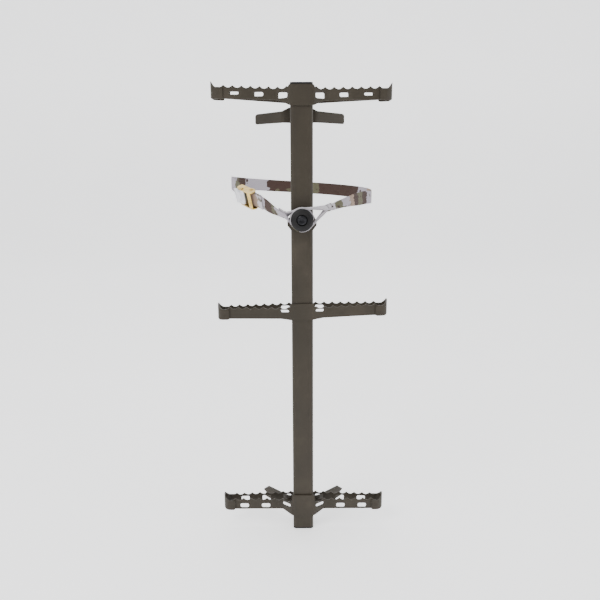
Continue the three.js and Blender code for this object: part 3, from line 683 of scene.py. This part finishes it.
def stitches(name, lap, material):
    """A row of stitches along each edge of the sewn lap and a zigzag at each end, lying on the outer layer."""
    verts, faces = [], []
    dense, _ = resampled(lap[::-1], STITCH_SPACING)
    zigzag_rows = 5
    for i in range(1, len(dense) - 1):
        forward, edge, normal = frame_at(dense, i)
        surface = dense[i].point + normal * (dense[i].thickness / 2)
        half = dense[i].half
        if i % 2 == 0:
            for side in (-1, 1):
                seam = surface + edge * side * (half - SEAM_MARGIN)
                add_stitch(verts, faces, seam, forward, normal, STITCH_LENGTH)
        if i in (2, 3, len(dense) - 4, len(dense) - 3):
            slant = (forward * 0.6 + edge * (1 if i % 2 else -1)).normalized()
            for k in range(zigzag_rows):
                share = -0.7 + 1.4 * k / (zigzag_rows - 1)
                add_stitch(verts, faces, surface + edge * share * half, slant, normal, ZIGZAG_LENGTH)
    add_piece(name, verts, faces, material)


# ---- small details ----
def hexagon_radius(radius, angle):
    """The distance to a hexagon's side, whose corners are radius away."""
    part = (angle % (math.pi / 3)) - math.pi / 6
    return radius * math.cos(math.pi / 6) / math.cos(part)


def button_bolt(material):
    """A low domed bolt head with a hexagon socket, on a plain shank. Its profile is (radius, forward)."""
    bolt_end = TUBE_REAR_Y + BOLT_PAST_TUBE
    shank = bolt_end - (HEAD_FRONT_Y + HEAD_RECESS - GAP)
    profile = [(0.01, 0), (4.2, 0), (5, 0.8), (5, shank), (8.2, shank), (8.4, shank + 0.2), (8.4, shank + 1.0),
               (8.1, shank + 1.6), (7.4, shank + 2.2), (6.5, shank + 2.5), (5.2, shank + 2.6),
               (3.6, shank + 2.6), (3.4, shank + 2.4), (3.4, shank + 0.9), (2.0, shank + 0.7),
               (0.01, shank + 0.6)]
    socket_rings = range(11, 14)
    rings = []
    for j, (radius, forward) in enumerate(profile):
        ring = []
        for angle in round_angles(60):
            size = hexagon_radius(radius, angle) if j in socket_rings else radius
            height = BUTTON_HEIGHT + size * math.sin(angle)
            ring.append(row((size * math.cos(angle), bolt_end - forward, height)))
        rings.append(ring)
    piece = swept("button_bolt_finished", rings, material)
    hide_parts("button_bolt")


def lever_grips(material):
    """Raised ribs across the thumb plate, so that a thumb doesn't slip off the cam lever."""
    for index in range(GRIP_COUNT):
        u = THUMB_START + 1.6 + index * GRIP_PITCH
        w = THUMB_TOP - GRIP_SINK - (u - THUMB_START) * THUMB_SLOPE
        rings = []
        for v in (-10.6, -10.2, -5, 0, 5, 10.2, 10.6):
            size = 0.25 if abs(v) > 10.4 else GRIP_RADIUS
            rings.append([row(in_buckle(u + size * math.cos(a), w + size * 0.75 * math.sin(a), v))
                          for a in round_angles(12)])
        swept(f"lever_grip_{index + 1}", rings, material, "cam")


def step_welds(material):
    """Each step is welded up both front corners of the tube, and under its rear plate on both sides."""
    for level, bottom in STEP_BOTTOMS.items():
        for side, word in ((-1, "left"), (1, "right")):
            x = side * (TUBE_WIDTH / 2 + 0.9)
            y = TUBE_FRONT_Y + 2.6
            weld_bead(f"{level}_{word}_front_weld", (x, y, bottom + 1.5), (x, y, bottom + VALLEY - 0.5),
                      (side, 0.6, 0), material)
            y = TUBE_REAR_Y + 0.5
            weld_bead(f"{level}_{word}_rear_weld", (side * 17.6, y, bottom - 1.1),
                      (side * 5.5, y, bottom - 1.1), (0, 0.7, -1), material)


def bracket_welds(material):
    """Each bracket is welded along the lower and upper edge of its middle."""
    for word, low, high, y in (
            ("top", TOP_BRACKET - 10.5, TOP_BRACKET + 15.2, TUBE_REAR_Y + 0.4),
            ("bottom", BOTTOM_BRACKET + 1, BOTTOM_BRACKET + 13.4, TUBE_REAR_Y + PLATE + 0.7)):
        for edge, height, towards in (("under", low, -1), ("over", high, 1)):
            weld_bead(f"{word}_bracket_{edge}_weld", (-14, y, height + towards * 0.7),
                      (14, y, height + towards * 0.7), (0, 0.7, towards), material)


# ---- build ----
coat = powder_coat()
cap_plastic = moulded_plastic("cap_plastic", (0.012, 0.011, 0.011), (0.03, 0.028, 0.026),
                              smoothest=0.5, roughest=0.7, grain_scale=700)
button_plastic = moulded_plastic("button_plastic", (0.004, 0.0035, 0.004), (0.012, 0.011, 0.011),
                                 smoothest=0.38, roughest=0.6, grain_scale=900)
yellow_zinc = plated_metal("yellow_zinc", (0.3, 0.18, 0.035), (0.62, 0.42, 0.11), (0.85, 0.66, 0.28),
                           smoothest=0.22, roughest=0.42, brush=(1, 1, 6))
lever_steel = plated_metal("lever_steel", (0.4, 0.4, 0.42), (0.66, 0.66, 0.69), (0.86, 0.86, 0.88),
                           smoothest=0.24, roughest=0.45, brush=(6, 1, 1))
zinc_steel = plated_metal("zinc_steel", (0.36, 0.37, 0.39), (0.58, 0.59, 0.61), (0.78, 0.79, 0.8),
                          smoothest=0.25, roughest=0.5, brush=(1, 6, 1))
bolt_black = plated_metal("bolt_black", (0.012, 0.012, 0.014), (0.03, 0.03, 0.033), (0.07, 0.07, 0.075),
                          smoothest=0.3, roughest=0.5, brush=(1, 1, 4))
thread = sewing_thread()

# Each node's material, slot and edge rounding. The nodes that aren't listed are coated steel, apart from the
# straps and the bolt, which are made afresh below.
finishes = {
    "top_end_cap": (cap_plastic, "cap_plastic", 0.5),
    "bottom_end_cap": (cap_plastic, "cap_plastic", 0.5),
    "button_core": (button_plastic, "button_plastic", 0.3),
    "button_head": (button_plastic, "button_plastic", 0.3),
    "button_washer": (zinc_steel, "zinc_steel", 0.25),
    "button_lock_nut": (zinc_steel, "zinc_steel", 0.25),
    "buckle_frame": (yellow_zinc, "yellow_zinc", 0.35),
    "cam_pin": (yellow_zinc, "yellow_zinc", 0.35),
    "strap_bar": (yellow_zinc, "yellow_zinc", 0.35),
    "cam_lever": (lever_steel, "lever_steel", 0.3),
    "cam_spring": (zinc_steel, "zinc_steel", 0.02),
}
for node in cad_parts:
    if node in ("short_strap", "long_strap", "button_bolt"):
        continue
    material, slot, width = finishes.get(node, (coat, "powder_coat", 0.45))
    finished_copy(node, material, width, "cam" if node in ("cam_lever", "cam_spring") else "stick")

button_bolt(bolt_black)
lever_grips(lever_steel)
step_welds(coat)
bracket_welds(coat)

short_path = short_strap_path()
long_path = long_strap_path()
short_print = camouflage("webbing_short", camouflage_bands(SHORT_BANDS, SHORT_SPAN[1], seed=5), SHORT_SPAN)
long_print = camouflage("webbing_long", camouflage_bands(LONG_BANDS, LONG_SPAN[1], seed=8), LONG_SPAN)
webbing_piece("short_strap_webbing", "short_strap", short_path, short_print)
webbing_piece("long_strap_webbing", "long_strap", long_path, long_print)
stitches("short_strap_stitches", short_path.lap, thread)
stitches("long_strap_stitches", long_path.lap, thread)


# ---- studio, in metres ----
def studio_floor():
    """A pale floor that curves up behind the object into a backdrop."""
    half_width = 16
    front_edge = -4.0
    bend_start = 2.6
    bend_radius = 1.4
    bend_steps = 12
    top = 5.0
    profile = [(front_edge, 0.0), (bend_start, 0.0)]
    for i in range(1, bend_steps + 1):
        angle = math.pi / 2 * i / bend_steps
        profile.append((bend_start + bend_radius * math.sin(angle), bend_radius * (1 - math.cos(angle))))
    profile.append((bend_start + bend_radius, top))
    floor_z = -ORIGIN_HEIGHT / 1000 - 0.0003
    verts = []
    for y, z in profile:
        verts += [(-half_width, y, floor_z + z), (half_width, y, floor_z + z)]
    faces = [[2 * i, 2 * i + 1, 2 * i + 3, 2 * i + 2] for i in range(len(profile) - 1)]
    mesh = bpy.data.meshes.new("studio_floor")
    mesh.from_pydata(verts, [], faces)
    mesh.polygons.foreach_set("use_smooth", [True] * len(faces))
    floor = bpy.data.objects.new("studio_floor", mesh)
    bpy.context.scene.collection.objects.link(floor)
    s = Shader("pale_floor")
    soft = s.noise(s.place(), scale=3, detail=4)
    colour = s.ramp(soft, [(0.3, (0.9, 0.9, 0.905)), (0.7, (0.93, 0.93, 0.935))])
    s.bump(s.noise(s.place(), scale=300, detail=2), strength=0.05, distance=0.0005)
    mesh.materials.append(s.finish(colour, 0.8, Emission_Color=(1, 1, 1, 1), Emission_Strength=0.8))


def area_light(name, place, aim, size, power, colour):
    light = bpy.data.lights.new(name, "AREA")
    light.shape = "RECTANGLE"
    light.size, light.size_y = size
    light.energy = power
    light.color = colour
    lamp = bpy.data.objects.new(name, light)
    lamp.location = place
    lamp.rotation_euler = (Vector(aim) - Vector(place)).to_track_quat("-Z", "Y").to_euler()
    bpy.context.scene.collection.objects.link(lamp)


def studio():
    studio_floor()
    area_light("key_light", (-1.5, -1.6, 1.9), (0, 0, 0.05), size=(1.3, 1.3), power=42, colour=(1, 0.99, 0.97))
    area_light("side_light", (1.9, -0.9, 1.0), (0, 0, 0.0), size=(1.2, 1.8), power=14, colour=(0.97, 0.98, 1))
    area_light("top_light", (0.1, 0.5, 2.4), (0, 0, 0.1), size=(1.6, 1.2), power=18, colour=(1, 1, 1))
    world = bpy.data.worlds.new("studio_world")
    world.use_nodes = True
    world.node_tree.nodes["Background"].inputs["Color"].default_value = (0.93, 0.94, 0.96, 1)
    world.node_tree.nodes["Background"].inputs["Strength"].default_value = 1.05
    bpy.context.scene.world = world


def camera():
    """A square-on view from a little above the middle, tipped down and rolled very slightly."""
    data = bpy.data.cameras.new("camera")
    data.lens = 36
    data.sensor_width = 36
    data.clip_start = 0.05
    eye = bpy.data.objects.new("camera", data)
    eye.location = (-0.003, -1.126, 0.2758)
    eye.rotation_euler = (math.radians(78), math.radians(0.3), 0)
    bpy.context.scene.collection.objects.link(eye)
    bpy.context.scene.camera = eye


studio()
camera()
